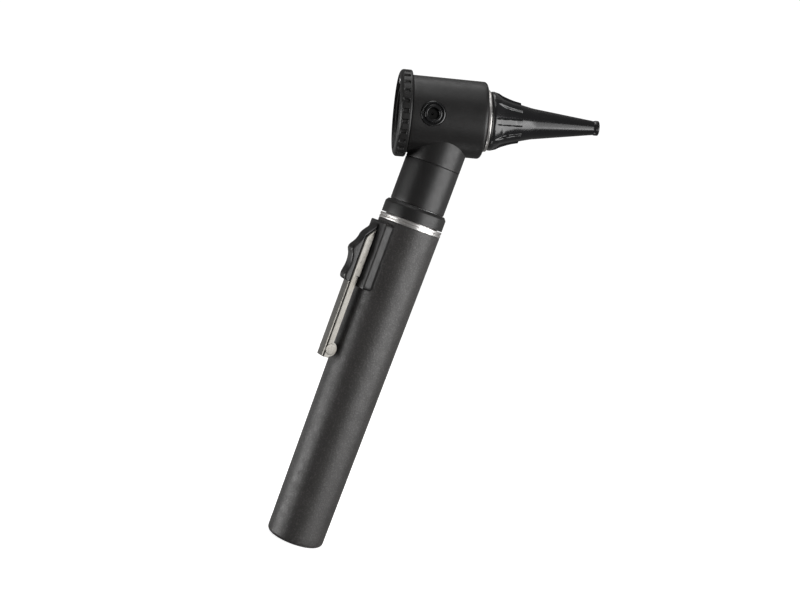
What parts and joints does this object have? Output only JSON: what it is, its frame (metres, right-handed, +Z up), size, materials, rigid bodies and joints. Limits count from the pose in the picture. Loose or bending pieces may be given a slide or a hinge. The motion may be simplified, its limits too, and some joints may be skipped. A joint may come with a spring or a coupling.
{
  "type": "otoscope",
  "caption": "Pocket otoscope: slim battery handle with a sliding clip switch, a screw-on tilted head with a swinging magnifier lens, and a slip-on ear speculum.",
  "frame": {"origin": "centre of the flat face at the bottom of the handle", "axes": "+Z up along the handle's axis, +X towards the side the speculum points to, -Y towards the side with the insufflation port"},
  "size_m": [0.0627, 0.0258, 0.1508],
  "materials": {
    "handle_plastic": "charcoal, fine moulded grain",
    "head_plastic": "black, satin",
    "gloss_black": "polished black",
    "chrome": "bright plated",
    "nickel": "dull nickel plate on spring steel",
    "steel": "plain spring steel",
    "brass": "plain",
    "aluminium": "turned",
    "cell_jacket": "plain foil jacket",
    "rubber": "black",
    "glass": "clear"
  },
  "bodies": {
    "handle": {"handle_tube": "handle_plastic", "battery_lower": "cell_jacket", "battery_upper": "cell_jacket", "battery_spring": "steel", "contact_strip_lower": "brass", "contact_strip_upper": "brass", "threaded_ferrule": "chrome", "switch_housing": "head_plastic"},
    "clip_switch": {"pocket_clip": "nickel", "thumb_grip": "head_plastic", "clip_rivet": "steel", "switch_slider": "head_plastic", "switch_contact": "brass"},
    "head": {"head_shell": "head_plastic", "neck_sleeve": "head_plastic", "lamp_socket": "aluminium", "lamp_base": "brass", "lamp_insulator": "rubber", "lamp_contact": "brass", "lamp_glass": "glass", "collar_circlip": "steel", "chamber_seal": "rubber", "light_guide": "glass", "port_nipple": "gloss_black", "pivot_screw": "steel", "speculum_seat": "chrome", "seat_nut": "brass"},
    "collar": {"collar": "head_plastic"},
    "lens_carrier": {"lens_frame": "head_plastic", "lens": "glass", "lens_ring": "rubber"},
    "speculum": {"speculum": "gloss_black"}
  },
  "joints": [
    {"name": "clip_slide", "type": "slide", "parent": "handle", "child": "clip_switch", "axis": [0, 0, -1], "range_m": [0, 0.0035]},
    {"name": "head_lift", "type": "slide", "parent": "handle", "child": "head", "axis": [0, 0, 1], "range_m": [0, 0.0024]},
    {"name": "collar_turn", "type": "hinge", "parent": "head", "child": "collar", "pos_m": [0, 0, 0.105], "axis": [0, 0, 1], "range_deg": [0, 1080]},
    {"name": "lens_swivel", "type": "hinge", "parent": "head", "child": "lens_carrier", "pos_m": [-0.01607, 0, 0.14169], "axis": [0.9648, 0, 0.2629], "range_deg": [-150, 150]},
    {"name": "speculum_pull", "type": "slide", "parent": "head", "child": "speculum", "axis": [0.9566, 0, 0.2914], "range_m": [0, 0.015]}
  ],
  "couplings": [
    {"joint": "collar_turn", "follows": "head_lift", "rad_per_m": 7853.9}
  ]
}
